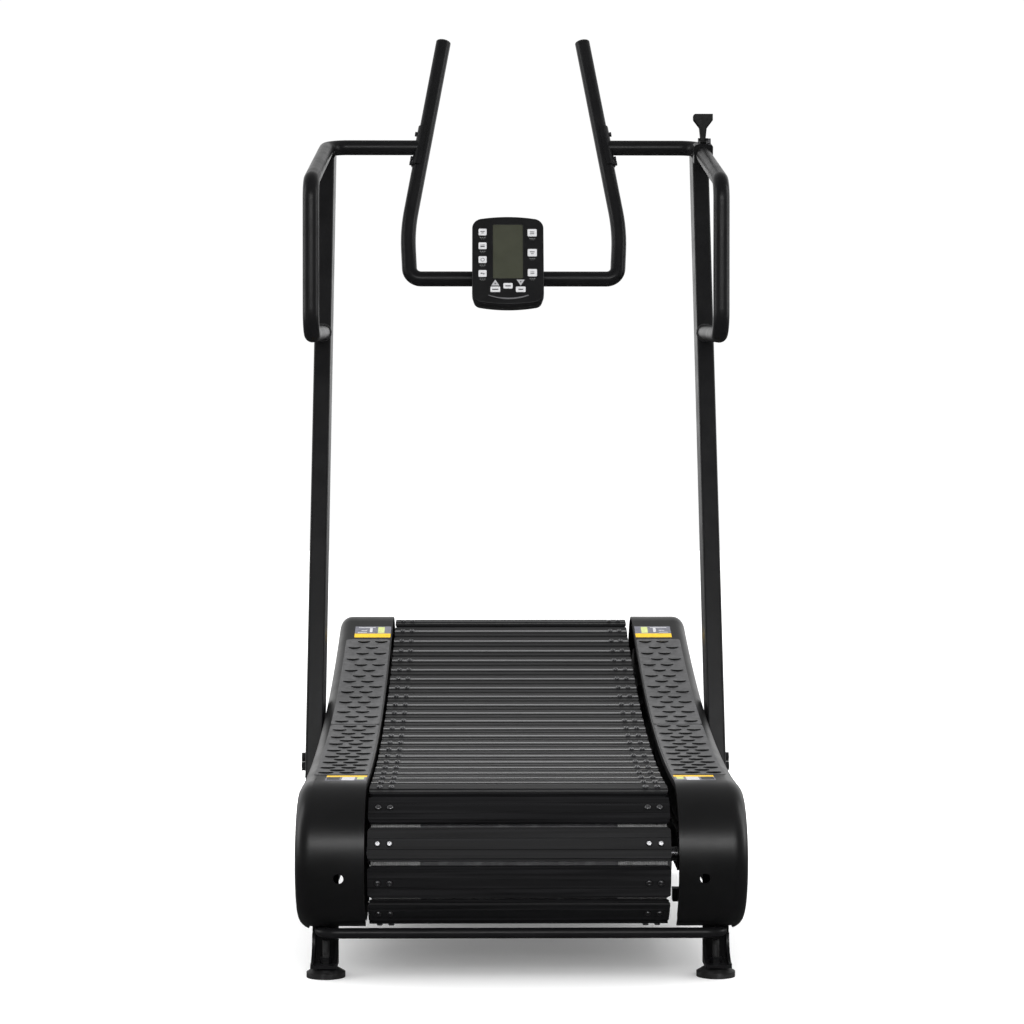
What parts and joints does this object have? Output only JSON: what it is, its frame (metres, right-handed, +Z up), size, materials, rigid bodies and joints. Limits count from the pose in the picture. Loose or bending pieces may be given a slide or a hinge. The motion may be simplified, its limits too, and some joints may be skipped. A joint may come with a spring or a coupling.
{
  "type": "curved manual treadmill",
  "caption": "Curved slat-belt manual treadmill with side covers, leaning uprights, bent handrails, horned handlebar, console and magnetic resistance lever.",
  "frame": {"origin": "centre of the outer box, on the floor", "axes": "+Z up, +Y the way the runner faces, +X the runner's right"},
  "size_m": [0.854, 1.5478, 1.811],
  "materials": {
    "frame_paint": "satin black powder coat",
    "slat_coating": "black anodised, brushed",
    "band_rubber": "ribbed belt rubber",
    "bolt_steel": "zinc plated",
    "dark_bolt": "black zinc",
    "shaft_steel": "turned",
    "drum_paint": "grey primer",
    "flywheel_iron": "machined",
    "cover_plastic": "fine textured ABS",
    "pad_rubber": "raised crescents",
    "foot_rubber": "moulded",
    "wheel_plastic": "moulded",
    "cap_plastic": "moulded",
    "lever_plastic": "moulded",
    "console_plastic": "satin moulded",
    "screen_glass": "liquid crystal screen",
    "board": "printed circuit",
    "key_plastic": "silicone key"
  },
  "bodies": {
    "frame": {"side_beams": "frame_paint", "cross_tubes": "frame_paint", "axle_plates": "frame_paint", "roller_rails": "frame_paint", "lift_bar": "frame_paint", "foot_brackets": "frame_paint", "front_legs": "frame_paint", "upright_left": "frame_paint", "upright_right": "frame_paint", "handrail_left": "frame_paint", "handrail_right": "frame_paint", "handlebar": "frame_paint", "saddle_brackets": "frame_paint", "console_bracket": "frame_paint", "lever_clamp": "frame_paint", "frame_bolts": "dark_bolt", "deck_rollers": "shaft_steel", "shaft_bearings": "shaft_steel", "lever_pin": "shaft_steel", "side_cover_left": "cover_plastic", "side_cover_right": "cover_plastic", "tread_pads": "pad_rubber", "handlebar_caps": "cap_plastic", "console_front_shell": "console_plastic", "console_back_shell": "console_plastic", "lcd_lens": "screen_glass", "circuit_board": "board"},
    "rear_drum": {"rear_shaft": "shaft_steel", "rear_drum": "drum_paint", "slats_rear": "slat_coating", "bands_rear": "band_rubber", "slat_bolts_rear": "bolt_steel"},
    "front_drum": {"front_shaft": "shaft_steel", "front_drum": "drum_paint", "flywheel": "flywheel_iron", "slats_front": "slat_coating", "bands_front": "band_rubber", "slat_bolts_front": "bolt_steel"},
    "belt_top": {"slats_top": "slat_coating", "bands_top": "band_rubber", "slat_bolts_top": "bolt_steel"},
    "belt_lower": {"slats_lower": "slat_coating", "bands_lower": "band_rubber", "slat_bolts_lower": "bolt_steel"},
    "resistance_lever": {"resistance_lever": "lever_plastic"},
    "brake_caliper": {"brake_caliper": "frame_paint"},
    "wheel_left": {"wheel_left": "wheel_plastic"},
    "wheel_right": {"wheel_right": "wheel_plastic"},
    "foot_left": {"foot_left": "foot_rubber"},
    "foot_right": {"foot_right": "foot_rubber"},
    "key_left_1": {"key_left_1": "key_plastic"},
    "key_left_2": {"key_left_2": "key_plastic"},
    "key_left_3": {"key_left_3": "key_plastic"},
    "key_left_4": {"key_left_4": "key_plastic"},
    "key_right_1": {"key_right_1": "key_plastic"},
    "key_right_2": {"key_right_2": "key_plastic"},
    "key_right_3": {"key_right_3": "key_plastic"},
    "key_up": {"key_up": "key_plastic"},
    "key_middle": {"key_middle": "key_plastic"},
    "key_down": {"key_down": "key_plastic"}
  },
  "joints": [
    {"name": "rear_drum_spin", "type": "hinge", "parent": "frame", "child": "rear_drum", "pos_m": [0, -0.64794, 0.204], "axis": [1, 0, 0], "range_deg": [-16.3, 16.3]},
    {"name": "front_drum_spin", "type": "hinge", "parent": "frame", "child": "front_drum", "pos_m": [0, 0.64794, 0.42116], "axis": [1, 0, 0], "range_deg": [-16.4, 16.4]},
    {"name": "belt_top_run", "type": "hinge", "parent": "frame", "child": "belt_top", "pos_m": [0, -0.64794, 4.179], "axis": [1, 0, 0], "range_deg": [-0.44515, 0.44515]},
    {"name": "belt_lower_run", "type": "hinge", "parent": "frame", "child": "belt_lower", "pos_m": [0, -0.64794, 4.179], "axis": [1, 0, 0], "range_deg": [-0.42222, 0.42222]},
    {"name": "lever_tilt", "type": "hinge", "parent": "frame", "child": "resistance_lever", "pos_m": [0.4005, 0.39206, 1.566], "axis": [1, 0, 0], "range_deg": [-35, 35]},
    {"name": "caliper_swing", "type": "hinge", "parent": "frame", "child": "brake_caliper", "pos_m": [0.32, 0.50594, 0.37216], "axis": [1, 0, 0], "range_deg": [-5.3, 5.3]},
    {"name": "wheel_left_roll", "type": "hinge", "parent": "frame", "child": "wheel_left", "pos_m": [-0.328, 0.485, 0.04], "axis": [1, 0, 0], "continuous": true},
    {"name": "wheel_right_roll", "type": "hinge", "parent": "frame", "child": "wheel_right", "pos_m": [0.328, 0.485, 0.04], "axis": [1, 0, 0], "continuous": true},
    {"name": "foot_left_level", "type": "slide", "parent": "frame", "child": "foot_left", "axis": [0, 0, -1], "range_m": [0, 0.01]},
    {"name": "foot_right_level", "type": "slide", "parent": "frame", "child": "foot_right", "axis": [0, 0, -1], "range_m": [0, 0.01]},
    {"name": "press_left_1", "type": "slide", "parent": "frame", "child": "key_left_1", "axis": [0, 0.9397, -0.342], "range_m": [0, 0.0008], "stiffness_N_per_m": 400},
    {"name": "press_left_2", "type": "slide", "parent": "frame", "child": "key_left_2", "axis": [0, 0.9397, -0.342], "range_m": [0, 0.0008], "stiffness_N_per_m": 400},
    {"name": "press_left_3", "type": "slide", "parent": "frame", "child": "key_left_3", "axis": [0, 0.9397, -0.342], "range_m": [0, 0.0008], "stiffness_N_per_m": 400},
    {"name": "press_left_4", "type": "slide", "parent": "frame", "child": "key_left_4", "axis": [0, 0.9397, -0.342], "range_m": [0, 0.0008], "stiffness_N_per_m": 400},
    {"name": "press_right_1", "type": "slide", "parent": "frame", "child": "key_right_1", "axis": [0, 0.9397, -0.342], "range_m": [0, 0.0008], "stiffness_N_per_m": 400},
    {"name": "press_right_2", "type": "slide", "parent": "frame", "child": "key_right_2", "axis": [0, 0.9397, -0.342], "range_m": [0, 0.0008], "stiffness_N_per_m": 400},
    {"name": "press_right_3", "type": "slide", "parent": "frame", "child": "key_right_3", "axis": [0, 0.9397, -0.342], "range_m": [0, 0.0008], "stiffness_N_per_m": 400},
    {"name": "press_up", "type": "slide", "parent": "frame", "child": "key_up", "axis": [0, 0.9397, -0.342], "range_m": [0, 0.0008], "stiffness_N_per_m": 400},
    {"name": "press_middle", "type": "slide", "parent": "frame", "child": "key_middle", "axis": [0, 0.9397, -0.342], "range_m": [0, 0.0008], "stiffness_N_per_m": 400},
    {"name": "press_down", "type": "slide", "parent": "frame", "child": "key_down", "axis": [0, 0.9397, -0.342], "range_m": [0, 0.0008], "stiffness_N_per_m": 400}
  ],
  "couplings": [
    {"joint": "front_drum_spin", "follows": "rear_drum_spin", "ratio": 1},
    {"joint": "belt_top_run", "follows": "rear_drum_spin", "ratio": -0.027143},
    {"joint": "belt_lower_run", "follows": "rear_drum_spin", "ratio": 0.025745},
    {"joint": "caliper_swing", "follows": "lever_tilt", "ratio": 0.15}
  ]
}
